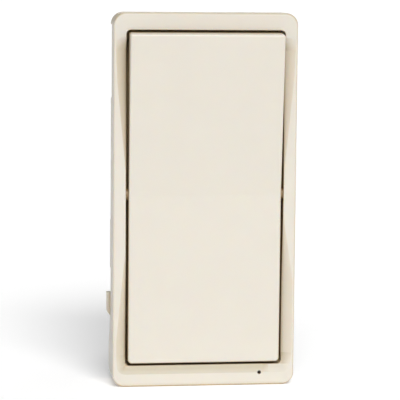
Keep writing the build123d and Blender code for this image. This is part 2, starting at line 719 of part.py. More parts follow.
# Chassis: the flange in the frame's rebate, the plunger guides and the board posts
with BuildPart() as front_chassis:
    slab(
        (-REBATE_HALF + FIT_GAP, FLANGE_Y, REBATE_BOTTOM + FIT_GAP),
        (REBATE_HALF - FIT_GAP, REAR_Y, REBATE_TOP - FIT_GAP),
    )
    with BuildSketch(depth_plane(RIM_BACK)):
        with Locations((0, MID_Z)):
            rim_w = HOUSING_W - 2 * WALL - 2 * FIT_GAP
            rim_h = HOUSING_H - 2 * WALL - 2 * FIT_GAP
            Rectangle(rim_w, rim_h)
            Rectangle(rim_w - 2 * RIM_T, rim_h - 2 * RIM_T, mode=Mode.SUBTRACT)
    extrude(amount=RIM_BACK - REAR_Y)
    for x, z in SCREW_PLACES:
        rod_y(x, z, FLANGE_Y, BOARD_Y, post_r)
        rod_y(x, z, SCREW_TIP - OVERRUN, BOARD_Y + OVERRUN, SCREW_HOLE_R, mode=Mode.SUBTRACT)
    for z in (UPPER_LEVER_Z, LOWER_LEVER_Z):
        rod_y(0, z, FLANGE_Y, GUIDE_END, GUIDE_R)
        rod_y(0, z, FLANGE_Y - OVERRUN, WELL_END, WELL_R, mode=Mode.SUBTRACT)
        bore_r = STEM_R + RUNNING_GAP
        rod_y(0, z, FLANGE_Y, GUIDE_END + OVERRUN, bore_r, mode=Mode.SUBTRACT)
    # Bearing posts close the trunnion slots from behind
    for side in (-1, 1):
        low_x, high_x = sorted((side * (HALF_OPENING + FIT_GAP), side * (REBATE_HALF - FIT_GAP)))
        slab(
            (low_x, HINGE_Y, HINGE_Z - TRUNNION_R),
            (high_x, FLANGE_Y, HINGE_Z + TRUNNION_R),
        )
    rod_x(-REBATE_HALF, REBATE_HALF, HINGE_Y, HINGE_Z, slot_r, mode=Mode.SUBTRACT)
    slab(
        (PIN_X - PIPE_W / 2 - PIPE_GAP, FLANGE_Y - OVERRUN, REBATE_BOTTOM - OVERRUN),
        (
            PIN_X + PIPE_W / 2 + PIPE_GAP,
            RIM_BACK + OVERRUN,
            PIPE_LEG_Z + PIPE_W / 2 + PIPE_GAP,
        ),
        mode=Mode.SUBTRACT,
    )
save(front_chassis, "front_chassis")


def build_plunger(node, lever_z, travel):
    """A plunger with a domed head, turned about its own axis along Y."""
    tail_y = STEM_TIP - travel - STEM_TOUCH
    with BuildPart() as plunger:
        with BuildSketch(Plane.XY.offset(lever_z)) as profile:
            with BuildLine():
                Polyline(
                    (DOME_CAP_R, HEAD_Y),
                    (HEAD_R, HEAD_Y),
                    (HEAD_R, HEAD_BACK),
                    (STEM_R, HEAD_BACK),
                    (STEM_R, tail_y),
                    (0, tail_y),
                    (0, TIP_Y),
                )
                dome_mid = DOME_R * sin(radians(DOME_TIP_TURN))
                dome_depth = TIP_Y + DOME_R - DOME_R * cos(radians(DOME_TIP_TURN))
                ThreePointArc((0, TIP_Y), (dome_mid, dome_depth), (DOME_CAP_R, HEAD_Y))
            make_face()
        revolve(profile.sketch, axis=Axis((0, 0, lever_z), (0, 1, 0)))
    save(plunger, node)


def build_return_spring(node, lever_z):
    """A compression spring between the plunger's head and the floor of its well."""
    start_y = HEAD_BACK + SPRING_WIRE_R + SPRING_SEAT
    length = WELL_END - SPRING_WIRE_R - SPRING_SEAT - start_y
    coil = Helix(
        pitch=length / SPRING_TURNS,
        height=length,
        radius=SPRING_R,
        center=(0, start_y, lever_z),
        direction=(0, 1, 0),
    )
    with BuildPart() as spring:
        with BuildSketch(Plane(origin=coil @ 0, z_dir=coil % 0)) as wire:
            Circle(SPRING_WIRE_R)
        sweep(wire.sketch, path=coil, is_frenet=True)
    save(spring, node)


build_plunger("upper_plunger", UPPER_LEVER_Z, lever * radians(PRESS_ANGLE))
build_plunger("lower_plunger", LOWER_LEVER_Z, lever * radians(LOWER_PRESS_ANGLE))
build_return_spring("upper_return_spring", UPPER_LEVER_Z)
build_return_spring("lower_return_spring", LOWER_LEVER_Z)

# Control board
with BuildPart() as control_board:
    slab(
        (-BOARD_W / 2, BOARD_Y, MID_Z - BOARD_H / 2),
        (BOARD_W / 2, BOARD_BACK, MID_Z + BOARD_H / 2),
    )
    for x, z in SCREW_PLACES:
        rod_y(x, z, BOARD_Y - OVERRUN, BOARD_BACK + OVERRUN, SCREW_HOLE_R, mode=Mode.SUBTRACT)
save(control_board, "control_board")


def build_tact_switch(prefix, lever_z):
    """A tactile switch: its body on the board and its stem towards the plunger."""
    with BuildPart() as body:
        slab(
            (-tact_w / 2, TACT_Y, lever_z - tact_w / 2),
            (tact_w / 2, BOARD_Y, lever_z + tact_w / 2),
        )
        rod_y(
            0,
            lever_z,
            TACT_Y - OVERRUN,
            TACT_Y + TACT_STEM_IN + TACT_FLOOR_GAP,
            TACT_STEM_R + RUNNING_GAP,
            mode=Mode.SUBTRACT,
        )
    save(body, prefix + "_tact_body")
    with BuildPart() as stem:
        rod_y(0, lever_z, STEM_TIP, TACT_Y + TACT_STEM_IN, TACT_STEM_R)
        fillet(stem.edges().sort_by(Axis.Y)[0], TACT_STEM_R / 5)
    save(stem, prefix + "_tact_stem")


build_tact_switch("upper", UPPER_LEVER_Z)
build_tact_switch("lower", LOWER_LEVER_Z)

# Indicator, radio module and chips on the control board
with BuildPart() as status_led:
    slab(
        (PIN_X - LED_W / 2, BOARD_Y - LED_T, PIPE_LEG_Z - LED_H / 2),
        (PIN_X + LED_W / 2, BOARD_Y, PIPE_LEG_Z + LED_H / 2),
    )
save(status_led, "status_led")

radio_low = HINGE_Z - radio_h / 2
with BuildPart() as radio_board:
    slab(
        (-radio_w / 2, BOARD_Y - RADIO_T, radio_low),
        (radio_w / 2, BOARD_Y, radio_low + radio_h),
    )
save(radio_board, "radio_board")

radio_front = BOARD_Y - RADIO_T
with BuildPart() as radio_shield:
    slab(
        (-shield_w / 2, radio_front - SHIELD_T, radio_low + SHIELD_MARGIN),
        (shield_w / 2, radio_front, radio_low + SHIELD_MARGIN + shield_h),
    )
    fillet(radio_shield.edges().filter_by(Axis.Y), SHIELD_MARGIN / 2)
save(radio_shield, "radio_shield")

# The antenna is a meander of equal legs joined at alternate ends
antenna_low = radio_low + radio_h - antenna_run - SHIELD_MARGIN
antenna_step = (antenna_w - ANTENNA_TRACE) / (ANTENNA_LEGS - 1)
with BuildPart() as antenna:
    for leg in range(ANTENNA_LEGS):
        leg_x = -antenna_w / 2 + leg * antenna_step
        slab(
            (leg_x, radio_front - ANTENNA_T, antenna_low),
            (leg_x + ANTENNA_TRACE, radio_front, antenna_low + antenna_run),
        )
        if leg < ANTENNA_LEGS - 1:
            link_z = antenna_low + (antenna_run - ANTENNA_TRACE if leg % 2 else 0)
            slab(
                (leg_x, radio_front - ANTENNA_T, link_z),
                (leg_x + antenna_step, radio_front, link_z + ANTENNA_TRACE),
            )
save(antenna, "antenna")

with BuildPart() as control_chips:
    for x, z, width in (
        (-chip_x, chip_z, mcu_w),
        (-chip_x, -chip_z, chip_w),
        (chip_x, -chip_z + chip_w / 2, chip_w),
    ):
        slab(
            (x - width / 2, BOARD_Y - CHIP_T, z - width / 2),
            (x + width / 2, BOARD_Y, z + width / 2),
        )
save(control_chips, "control_chips")

# Pin header between the two boards
header_places = GridLocations(header_pitch, header_pitch, HEADER_PINS, 1).locations
pin_columns = [place.position.X for place in header_places]
with BuildPart() as board_header:
    header_half = header_pitch * HEADER_PINS / 2
    slab(
        (-header_half, BOARD_BACK, header_z - header_w / 2),
        (header_half, BOARD_BACK + HEADER_BODY_T, header_z + header_w / 2),
    )
    hole_half = PIN_W / 2 + PIN_FIT
    for x in pin_columns:
        slab(
            (x - hole_half, BOARD_Y, header_z - hole_half),
            (x + hole_half, POWER_Y, header_z + hole_half),
            mode=Mode.SUBTRACT,
        )
save(board_header, "board_header")

with BuildPart() as header_pins:
    for x in pin_columns:
        slab(
            (x - PIN_W / 2, BOARD_BACK, header_z - PIN_W / 2),
            (x + PIN_W / 2, POWER_Y, header_z + PIN_W / 2),
        )
save(header_pins, "header_pins")

# Power board, with a tongue for the header between the terminals
with BuildPart() as power_board:
    slab(
        (-BOARD_W / 2, POWER_Y, MID_Z - power_h / 2),
        (BOARD_W / 2, POWER_BACK, MID_Z + power_h / 2),
    )
    slab(
        (-tongue_w / 2, POWER_Y, MID_Z + power_h / 2 - OVERRUN),
        (tongue_w / 2, POWER_BACK, MID_Z + power_h / 2 + tongue_h),
    )
save(power_board, "power_board")

with BuildPart() as bulk_capacitor:
    rod_z(cap_x, POWER_Y - cap_r, cap_z - cap_l / 2, cap_z + cap_l / 2, cap_r)
    fillet(bulk_capacitor.edges(), CAP_GROOVE)
    with BuildSketch(Plane.XZ.offset(cap_r - POWER_Y)) as groove:
        with Locations((cap_x + cap_r, cap_z - cap_l / 2 + cap_r / 2)):
            Circle(CAP_GROOVE)
    revolve(
        groove.sketch,
        axis=Axis((cap_x, POWER_Y - cap_r, 0), (0, 0, 1)),
        mode=Mode.SUBTRACT,
    )
save(bulk_capacitor, "bulk_capacitor")

with BuildPart() as film_capacitor:
    slab(
        (film_x - film_w / 2, POWER_Y - FILM_T, film_z - film_h / 2),
        (film_x + film_w / 2, POWER_Y, film_z + film_h / 2),
    )
    fillet(film_capacitor.edges().filter_by(Axis.Y), CAP_GROOVE)
save(film_capacitor, "film_capacitor")

with BuildPart() as varistor:
    mov_y = POWER_Y - LEAD_L - mov_r
    rod_x(mov_x - mov_t / 2, mov_x + mov_t / 2, mov_y, mov_z, mov_r)
    fillet(varistor.edges().filter_by(GeomType.CIRCLE), mov_t / 4)
    for side in (-1, 1):
        rod_y(mov_x, mov_z + side * mov_r / 2, mov_y, POWER_Y, LEAD_R)
save(varistor, "varistor")

with BuildPart() as bridge_rectifier:
    slab(
        (bridge_x - bridge_w / 2, POWER_Y - BRIDGE_T, bridge_z - bridge_h / 2),
        (bridge_x + bridge_w / 2, POWER_Y, bridge_z + bridge_h / 2),
    )
    chamfer(bridge_rectifier.faces().sort_by(Axis.Y)[0].edges(), CAP_GROOVE)
save(bridge_rectifier, "bridge_rectifier")

with BuildPart() as fuse_resistor:
    fuse_y = POWER_Y - fuse_cap_r
    rod_x(fuse_x - fuse_l / 2, fuse_x + fuse_l / 2, fuse_y, fuse_z, fuse_r)
    for side in (-1, 1):
        inner_end = fuse_x + side * fuse_l / 2
        rod_x(inner_end, inner_end + side * fuse_cap_l, fuse_y, fuse_z, fuse_cap_r)
save(fuse_resistor, "fuse_resistor")

# Transformer: a pair of E cores around the wound bobbin
with BuildPart() as transformer_core:
    core_front = (COIL_FRONT + POWER_Y - CORE_T) / 2
    low_z = core_z - core_h / 2
    high_z = core_z + core_h / 2
    slab(
        (core_x - core_w / 2, core_front, low_z),
        (core_x + core_w / 2, core_front + CORE_T, high_z),
    )
    slab(
        (core_x - core_w / 2 + core_leg, core_front - OVERRUN, low_z + core_yoke),
        (core_x + core_w / 2 - core_leg, core_front + CORE_T + OVERRUN, high_z - core_yoke),
        mode=Mode.SUBTRACT,
    )
    slab(
        (core_x - core_mid / 2, core_front, low_z),
        (core_x + core_mid / 2, core_front + CORE_T, high_z),
    )
save(transformer_core, "transformer_core")

with BuildPart() as transformer_coil:
    coil_half = core_w / 2 - core_leg - COIL_CLEAR
    slab(
        (core_x - coil_half, COIL_FRONT, low_z + core_yoke + COIL_CLEAR),
        (core_x + coil_half, POWER_Y, high_z - core_yoke - COIL_CLEAR),
    )
    fillet(transformer_coil.edges().filter_by(Axis.Z), COIL_CLEAR * 3)
    slab(
        (core_x - core_mid / 2 - COIL_GAP, core_front - COIL_GAP, low_z),
        (core_x + core_mid / 2 + COIL_GAP, core_front + CORE_T + COIL_GAP, high_z),
        mode=Mode.SUBTRACT,
    )
save(transformer_coil, "transformer_coil")

# Relay: base and cover
relay_low_x = relay_x - relay_w / 2
relay_low_z = relay_z - relay_h / 2
base_front = POWER_Y - RELAY_BASE_T
with BuildPart() as relay_base:
    slab(
        (relay_low_x, base_front, relay_low_z),
        (relay_low_x + relay_w, POWER_Y, relay_low_z + relay_h),
    )
save(relay_base, "relay_base")

with BuildPart() as relay_cover:
    slab(
        (relay_low_x, RELAY_FRONT, relay_low_z),
        (relay_low_x + relay_w, base_front, relay_low_z + relay_h),
    )
    fillet(relay_cover.edges().filter_by(Axis.Y), RELAY_WALL * 2 / 3)
    slab(
        (relay_low_x + RELAY_WALL, RELAY_FRONT + RELAY_WALL, relay_low_z + RELAY_WALL),
        (
            relay_low_x + relay_w - RELAY_WALL,
            base_front + OVERRUN,
            relay_low_z + relay_h - RELAY_WALL,
        ),
        mode=Mode.SUBTRACT,
    )
save(relay_cover, "relay_cover")

# Relay: magnet
bobbin_y = base_front - YOKE_BACK_GAP - YOKE_T - RUNNING_GAP - bobbin_r
yoke_low = relay_low_z + RELAY_WALL + RUNNING_GAP
yoke_floor = yoke_low + YOKE_T
bobbin_low = yoke_floor + RUNNING_GAP
bobbin_high = bobbin_low + bobbin_l
head_low = bobbin_high + RUNNING_GAP
yoke_front = bobbin_y + bobbin_r + RUNNING_GAP
pivot_y = yoke_front + PIVOT_IN
head_reach = pivot_y - bobbin_y + relay_head_r
armature_z = head_low + RELAY_HEAD_T + ARMATURE_GAP
armature_z = armature_z + head_reach * sin(radians(ARMATURE_ANGLE))

with BuildPart() as relay_bobbin:
    rod_z(bobbin_x, bobbin_y, bobbin_low, bobbin_high, bobbin_drum_r)
    rod_z(bobbin_x, bobbin_y, bobbin_low, bobbin_low + BOBBIN_FLANGE, bobbin_r)
    rod_z(bobbin_x, bobbin_y, bobbin_high - BOBBIN_FLANGE, bobbin_high, bobbin_r)
    core_hole_r = relay_core_r + RUNNING_GAP
    rod_z(bobbin_x, bobbin_y, yoke_low, bobbin_high + OVERRUN, core_hole_r, mode=Mode.SUBTRACT)
save(relay_bobbin, "relay_bobbin")

with BuildPart() as relay_coil:
    winding_low = bobbin_low + BOBBIN_FLANGE
    winding_high = bobbin_high - BOBBIN_FLANGE
    rod_z(bobbin_x, bobbin_y, winding_low, winding_high, winding_r)
    rod_z(bobbin_x, bobbin_y, winding_low, winding_high, bobbin_drum_r, mode=Mode.SUBTRACT)
save(relay_coil, "relay_coil")

with BuildPart() as relay_core:
    rod_z(bobbin_x, bobbin_y, yoke_floor, head_low, relay_core_r)
    rod_z(bobbin_x, bobbin_y, head_low, head_low + RELAY_HEAD_T, relay_head_r)
save(relay_core, "relay_core")

with BuildPart() as relay_yoke:
    slab(
        (bobbin_x - yoke_w / 2, bobbin_y - relay_head_r, yoke_low),
        (bobbin_x + yoke_w / 2, yoke_front + YOKE_T, yoke_floor),
    )
    slab(
        (bobbin_x - yoke_w / 2, yoke_front, yoke_low),
        (bobbin_x + yoke_w / 2, yoke_front + YOKE_T, armature_z - ARMATURE_GAP),
    )
    # The armature rocks on a round ridge along the yoke's end
    ridge_low, ridge_high = bobbin_x - yoke_w / 2, bobbin_x + yoke_w / 2
    rod_x(ridge_low, ridge_high, pivot_y, armature_z, PIVOT_R)
save(relay_yoke, "relay_yoke")

# Relay: armature, its contact blade, and the two contacts
armature_back = pivot_y + ARMATURE_HEEL
armature_top = armature_z + ARMATURE_T
with BuildPart() as relay_armature:
    slab(
        (bobbin_x - armature_w / 2, armature_back - armature_l, armature_z),
        (bobbin_x + armature_w / 2, armature_back, armature_top),
    )
    groove_r = PIVOT_R + ARMATURE_GAP
    groove_low, groove_high = bobbin_x - armature_w, bobbin_x + armature_w
    rod_x(groove_low, groove_high, pivot_y, armature_z, groove_r, mode=Mode.SUBTRACT)
save(relay_armature, "relay_armature")

contact_y = pivot_y - contact_reach
with BuildPart() as relay_contact_blade:
    slab(
        (bobbin_x - armature_w / 2, contact_y - blade_w / 2, armature_top),
        (contact_x + contact_r, contact_y + blade_w / 2, armature_top + BLADE_T),
    )
save(relay_contact_blade, "relay_contact_blade")

with BuildPart() as moving_contact:
    rod_z(contact_x, contact_y, armature_top - CONTACT_T, armature_top, contact_r)
save(moving_contact, "moving_contact")

contact_drop = (contact_reach + contact_r) * sin(radians(ARMATURE_ANGLE)) + ARMATURE_GAP
fixed_top = armature_top - CONTACT_T - contact_drop
with BuildPart() as fixed_contact:
    rod_z(contact_x, contact_y, fixed_top - CONTACT_T, fixed_top, contact_r)
save(fixed_contact, "fixed_contact")

with BuildPart() as fixed_contact_post:
    slab(
        (contact_x - POST_W / 2, contact_y - POST_W / 2, fixed_top - CONTACT_T - POST_T),
        (contact_x + POST_W / 2, base_front, fixed_top - CONTACT_T),
    )
save(fixed_contact_post, "fixed_contact_post")

# Rear housing: a tube of four walls with the screw tubes and the screw windows
with BuildPart() as rear_housing:
    with BuildSketch(depth_plane(HOUSING_BACK)):
        with Locations((0, MID_Z)):
            RectangleRounded(HOUSING_W, HOUSING_H, HOUSING_CORNER)
            Rectangle(HOUSING_W - 2 * WALL, HOUSING_H - 2 * WALL, mode=Mode.SUBTRACT)
    extrude(amount=HOUSING_BACK - REAR_Y)
    for (x, z), side in zip(SCREW_PLACES, (1, -1)):
        rod_y(x, z, BOARD_BACK, HOUSING_BACK, post_r)
        low_z, high_z = sorted((z, MID_Z + side * (HOUSING_H / 2 - WALL / 2)))
        slab((-WEB_T / 2, BOARD_BACK, low_z), (WEB_T / 2, HOUSING_BACK, high_z))
        rod_y(x, z, BOARD_BACK - OVERRUN, HOUSING_BACK + OVERRUN, SCREW_HOLE_R, mode=Mode.SUBTRACT)
    window_r = CLAMP_SCREW_HEAD_R + HEAD_WINDOW_GAP
    for side in (-1, 1):
        for end in (-1, 1):
            rod_x(
                side * (INNER_HALF - OVERRUN),
                side * (HALF_HOUSING + OVERRUN),
                TERMINAL_Y,
                MID_Z + end * terminal_z,
                window_r,
                mode=Mode.SUBTRACT,
            )
save(rear_housing, "rear_housing")

# Rear cover, with the wire ports, the screw seats and the standoffs for the power board
port_x = INNER_HALF - terminal_t - wire_gap / 2
port_z = terminal_z + port_side
with BuildPart() as rear_cover:
    with BuildSketch(depth_plane(COVER_BACK)):
        with Locations((0, MID_Z)):
            RectangleRounded(HOUSING_W, HOUSING_H, HOUSING_CORNER)
    extrude(amount=COVER_T)
    fillet(rear_cover.faces().sort_by(Axis.Y)[-1].edges(), FACE_ROUND)
    for side in (-1, 1):
        for end in (-1, 1):
            rod_y(
                side * standoff_x,
                MID_Z + end * standoff_z,
                POWER_BACK,
                HOUSING_BACK,
                standoff_r,
            )
            rod_y(
                side * port_x,
                MID_Z + end * port_z,
                HOUSING_BACK - OVERRUN,
                COVER_BACK + OVERRUN,
                port_r,
                mode=Mode.SUBTRACT,
            )
    head_seat = COVER_BACK - SCREW_HEAD_T
    for x, z in SCREW_PLACES:
        rod_y(x, z, HOUSING_BACK - OVERRUN, COVER_BACK, SCREW_HOLE_R, mode=Mode.SUBTRACT)
        seat_r = SCREW_HEAD_R + SCREW_HEAD_GAP
        rod_y(x, z, head_seat, COVER_BACK + OVERRUN, seat_r, mode=Mode.SUBTRACT)
save(rear_cover, "rear_cover")

with BuildPart() as housing_screws:
    for x, z in SCREW_PLACES:
        rod_y(x, z, SCREW_TIP, head_seat, SCREW_R)
        rod_y(x, z, head_seat, COVER_BACK, SCREW_HEAD_R)
        for half_x, half_z in ((DRIVE_L / 2, DRIVE_W / 2), (DRIVE_W / 2, DRIVE_L / 2)):
            slab(
                (x - half_x, COVER_BACK - DRIVE_DEPTH, z - half_z),
                (x + half_x, COVER_BACK + OVERRUN, z + half_z),
                mode=Mode.SUBTRACT,
            )
save(housing_screws, "housing_screws")


def terminal_screw(side, end):
    """A clamp screw whose head bears on the terminal through the housing's window."""
    z = MID_Z + end * terminal_z
    seat = side * (INNER_HALF + CLAMP_SCREW_GAP)
    tip = side * (INNER_HALF - terminal_t - wire_gap - clamp_t - clamp_screw_tail)
    crown = seat + side * CLAMP_SCREW_HEAD_T
    rod_x(tip, seat, TERMINAL_Y, z, CLAMP_SCREW_R)
    rod_x(seat, crown, TERMINAL_Y, z, CLAMP_SCREW_HEAD_R)
    low_x, high_x = sorted((crown - side * DRIVE_DEPTH, crown + side * OVERRUN))
    for half_y, half_z in ((DRIVE_W / 2, DRIVE_L), (DRIVE_L, DRIVE_W / 2)):
        slab(
            (low_x, TERMINAL_Y - half_y, z - half_z),
            (high_x, TERMINAL_Y + half_y, z + half_z),
            mode=Mode.SUBTRACT,
        )


def build_terminal(node, side, end):
    """The fixed half of one clamp, with the tail that reaches the power board."""
    centre_z = MID_Z + end * (terminal_z + terminal_shift)
    low_x, high_x = sorted((side * INNER_HALF, side * (INNER_HALF - terminal_t)))
    tail_low, tail_high = sorted((MID_Z + end * power_h / 2, centre_z))
    with BuildPart() as terminal:
        slab(
            (low_x, TERMINAL_Y - TERMINAL_DEPTH / 2, centre_z - terminal_h / 2),
            (high_x, TERMINAL_Y + TERMINAL_DEPTH / 2, centre_z + terminal_h / 2),
        )
        slab(
            (low_x, POWER_Y, tail_low),
            (high_x, POWER_Y + TAIL_W, tail_high),
        )
        hole_r = CLAMP_SCREW_R + CLAMP_SCREW_GAP
        rod_x(0, side * HALF_HOUSING, TERMINAL_Y, MID_Z + end * terminal_z, hole_r, Mode.SUBTRACT)
    save(terminal, node)


TERMINALS = {
    "line_terminal": (-1, 1),
    "load_terminal": (1, 1),
    "neutral_terminal": (-1, -1),
    "ground_terminal": (1, -1),
}
for terminal_node, (side, end) in TERMINALS.items():
    build_terminal(terminal_node, side, end)

with BuildPart() as clamp_plates:
    for side, end in TERMINALS.values():
        centre_z = MID_Z + end * (terminal_z + terminal_shift)
        clamp_face = INNER_HALF - terminal_t - wire_gap
        low_x, high_x = sorted((side * clamp_face, side * (clamp_face - clamp_t)))
        slab(
            (low_x, TERMINAL_Y - TERMINAL_DEPTH / 2, centre_z - terminal_h / 2),
            (high_x, TERMINAL_Y + TERMINAL_DEPTH / 2, centre_z + terminal_h / 2),
        )
        hole_r = CLAMP_SCREW_R + CLAMP_SCREW_GAP
        rod_x(0, side * HALF_HOUSING, TERMINAL_Y, MID_Z + end * terminal_z, hole_r, Mode.SUBTRACT)
save(clamp_plates, "clamp_plates")

with BuildPart() as terminal_screws:
    for node, (side, end) in TERMINALS.items():
        if node != "ground_terminal":
            terminal_screw(side, end)
save(terminal_screws, "terminal_screws")

with BuildPart() as ground_screw:
    terminal_screw(*TERMINALS["ground_terminal"])
save(ground_screw, "ground_screw")
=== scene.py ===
import json
import math

import bmesh
import bpy
from mathutils import Matrix, Vector


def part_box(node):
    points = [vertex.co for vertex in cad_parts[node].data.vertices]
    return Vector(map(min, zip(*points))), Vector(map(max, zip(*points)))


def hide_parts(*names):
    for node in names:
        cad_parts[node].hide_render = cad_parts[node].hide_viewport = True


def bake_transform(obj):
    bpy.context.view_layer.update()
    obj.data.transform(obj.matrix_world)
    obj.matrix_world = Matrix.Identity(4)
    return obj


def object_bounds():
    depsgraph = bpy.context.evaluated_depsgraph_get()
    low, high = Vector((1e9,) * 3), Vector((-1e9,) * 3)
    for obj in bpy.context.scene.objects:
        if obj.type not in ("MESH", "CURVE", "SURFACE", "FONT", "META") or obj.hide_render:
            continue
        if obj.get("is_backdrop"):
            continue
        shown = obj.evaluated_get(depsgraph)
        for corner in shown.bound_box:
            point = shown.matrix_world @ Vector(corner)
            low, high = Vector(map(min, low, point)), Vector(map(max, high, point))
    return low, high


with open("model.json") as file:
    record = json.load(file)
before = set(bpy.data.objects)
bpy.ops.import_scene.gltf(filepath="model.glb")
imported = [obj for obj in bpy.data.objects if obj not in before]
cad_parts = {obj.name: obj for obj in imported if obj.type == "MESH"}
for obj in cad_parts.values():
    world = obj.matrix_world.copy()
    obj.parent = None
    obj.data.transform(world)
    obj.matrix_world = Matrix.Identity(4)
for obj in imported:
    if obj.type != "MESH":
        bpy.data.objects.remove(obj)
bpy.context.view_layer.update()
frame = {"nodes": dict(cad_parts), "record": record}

MM = 0.001
RIGHTWARD = Vector((1, 0, 0))
BACKWARD = Vector((0, 1, 0))
UPWARD = Vector((0, 0, 1))

scene = bpy.context.scene
scene.view_settings.view_transform = "Standard"
scene.view_settings.look = "None"


def direction(azimuth, elevation):
    """Where a place stands, seen from the part; the angles are in radians, with azimuth 0 in front."""
    return Vector(
        (
            math.sin(azimuth) * math.cos(elevation),
            -math.cos(azimuth) * math.cos(elevation),
            math.sin(elevation),
        )
    )


# Camera: fitted to the corners of the face, on the photograph's line of sight
AZIMUTH = math.radians(-7.51)
ELEVATION = math.radians(6.61)
ROLL = math.radians(0.5)
DISTANCE = 347.9 * MM
LOOK_AT = Vector((-0.914, -6.6, 0.229)) * MM
LENS = 177.1
SENSOR_WIDTH = 36
NEAREST_SEEN = 0.01
FARTHEST_SEEN = 10


def add_camera():
    """The photograph's camera."""
    back = direction(AZIMUTH, ELEVATION)
    right = (-back).cross(UPWARD).normalized()
    up = right.cross(-back)
    turned_right = math.cos(ROLL) * right + math.sin(ROLL) * up
    turned_up = -math.sin(ROLL) * right + math.cos(ROLL) * up
    data = bpy.data.cameras.new("camera")
    data.lens = LENS
    data.sensor_width = SENSOR_WIDTH
    data.clip_start = NEAREST_SEEN
    data.clip_end = FARTHEST_SEEN
    camera = bpy.data.objects.new("camera", data)
    scene.collection.objects.link(camera)
    axes = Matrix((turned_right, turned_up, back)).transposed().to_4x4()
    camera.matrix_world = Matrix.Translation(LOOK_AT + back * DISTANCE) @ axes
    scene.camera = camera


add_camera()

# Material nodes: the Mix node's sockets for colours, and the rays that the painted crease shade and the
# edge nodes use
FACTOR = 0
COLOUR_A = 6
COLOUR_B = 7
MIXED = 2
CREASE_SHADE_RAYS = 8
EDGE_RAYS = 6


def fill_ramp(ramp, stops):
    """Give a ramp node its stops, each a value and the colour there."""
    elements = ramp.color_ramp.elements
    for element, (value, colour) in zip(elements, (stops[0], stops[-1])):
        element.position = value
        element.color = (*colour, 1)
    for value, colour in stops[1:-1]:
        elements.new(value).color = (*colour, 1)


class Shader:
    """A Principled material, with the nodes that vary it over the surface."""

    def __init__(self, name, colour, roughness, metallic=0.0):
        self.name = name
        self.colour = colour
        self.roughness = roughness
        self.material = bpy.data.materials.new(name)
        self.material.use_nodes = True
        self.tree = self.material.node_tree
        self.surface = self.tree.nodes["Principled BSDF"]
        self.surface.inputs["Base Color"].default_value = (*colour, 1)
        self.surface.inputs["Roughness"].default_value = roughness
        self.surface.inputs["Metallic"].default_value = metallic
        self.place = self.node("ShaderNodeTexCoord").outputs["Object"]
        self.normal = None

    def node(self, kind, **values):
        """Add a node; each value sets the property of that name, or else the input."""
        made = self.tree.nodes.new(kind)
        for key, value in values.items():
            if hasattr(made, key):
                setattr(made, key, value)
            else:
                made.inputs[key].default_value = value
        return made

    def link(self, start, end):
        self.tree.links.new(start, end)

    def scaled_place(self, scales):
        """The place on the piece, with each axis multiplied by a scale of its own."""
        scaled = self.node("ShaderNodeVectorMath", operation="MULTIPLY")
        self.link(self.place, scaled.inputs[0])
        scaled.inputs[1].default_value = scales
        return scaled.outputs["Vector"]

    def noise(self, size, detail=2.0, stretch=(1, 1, 1)):
        """A noise whose lumps are about size wide, in metres."""
        noise = self.node("ShaderNodeTexNoise", Scale=1.0, Detail=detail)
        self.link(self.scaled_place([share / size for share in stretch]), noise.inputs["Vector"])
        return noise.outputs["Fac"]

    def tint(self, factor, shades):
        """Vary the base colour between a lighter and a darker shade of it."""
        light, dark = shades
        mix = self.node("ShaderNodeMix", data_type="RGBA")
        self.link(factor, mix.inputs[FACTOR])
        mix.inputs[COLOUR_A].default_value = (*[part * dark for part in self.colour], 1)
        mix.inputs[COLOUR_B].default_value = (*[min(1, part * light) for part in self.colour], 1)
        self.link(mix.outputs[MIXED], self.surface.inputs["Base Color"])

    def paint_shade_by(self, source, stops):
        """Paint shade into the base colour: multiply it by a colour that depends on a value."""
        ramp = self.node("ShaderNodeValToRGB")
        fill_ramp(ramp, stops)
        self.link(source, ramp.inputs["Fac"])
        mix = self.node("ShaderNodeMix", data_type="RGBA", blend_type="MULTIPLY")
        mix.inputs[FACTOR].default_value = 1
        self.link(self.surface.inputs["Base Color"].links[0].from_socket, mix.inputs[COLOUR_A])
        self.link(ramp.outputs["Color"], mix.inputs[COLOUR_B])
        self.link(mix.outputs[MIXED], self.surface.inputs["Base Color"])

    def openness(self, reach):
        """How open a place is, from 0 to 1, counting only the surfaces within reach."""
        return self.node("ShaderNodeAmbientOcclusion", samples=CREASE_SHADE_RAYS, Distance=reach).outputs["AO"]

    def lean(self, towards):
        """How squarely the surface faces a direction, from 1 where it does to -1 where it faces away."""
        geometry = self.node("ShaderNodeNewGeometry")
        along = self.node("ShaderNodeVectorMath", operation="DOT_PRODUCT")
        self.link(geometry.outputs["Normal"], along.inputs[0])
        along.inputs[1].default_value = towards
        return along.outputs["Value"]

    def vary_roughness(self, factor, shares):
        """Vary the roughness between a lower and a higher share of it."""
        low, high = shares
        spread = self.node("ShaderNodeMapRange")
        self.link(factor, spread.inputs["Value"])
        spread.inputs["To Min"].default_value = self.roughness * low
        spread.inputs["To Max"].default_value = self.roughness * high
        self.link(spread.outputs["Result"], self.surface.inputs["Roughness"])

    def soften_edges(self, radius):
        """Round the shading of hard edges."""
        bevel = self.node("ShaderNodeBevel", samples=EDGE_RAYS, Radius=radius)
        self.normal = bevel.outputs["Normal"]
        self.link(self.normal, self.surface.inputs["Normal"])

    def bump(self, height, distance, strength=1.0):
        """Add relief, up to distance deep, to the shading."""
        relief = self.node("ShaderNodeBump", Strength=strength, Distance=distance)
        self.link(height, relief.inputs["Height"])
        if self.normal is not None:
            self.link(self.normal, relief.inputs["Normal"])
        self.normal = relief.outputs["Normal"]
        self.link(self.normal, self.surface.inputs["Normal"])


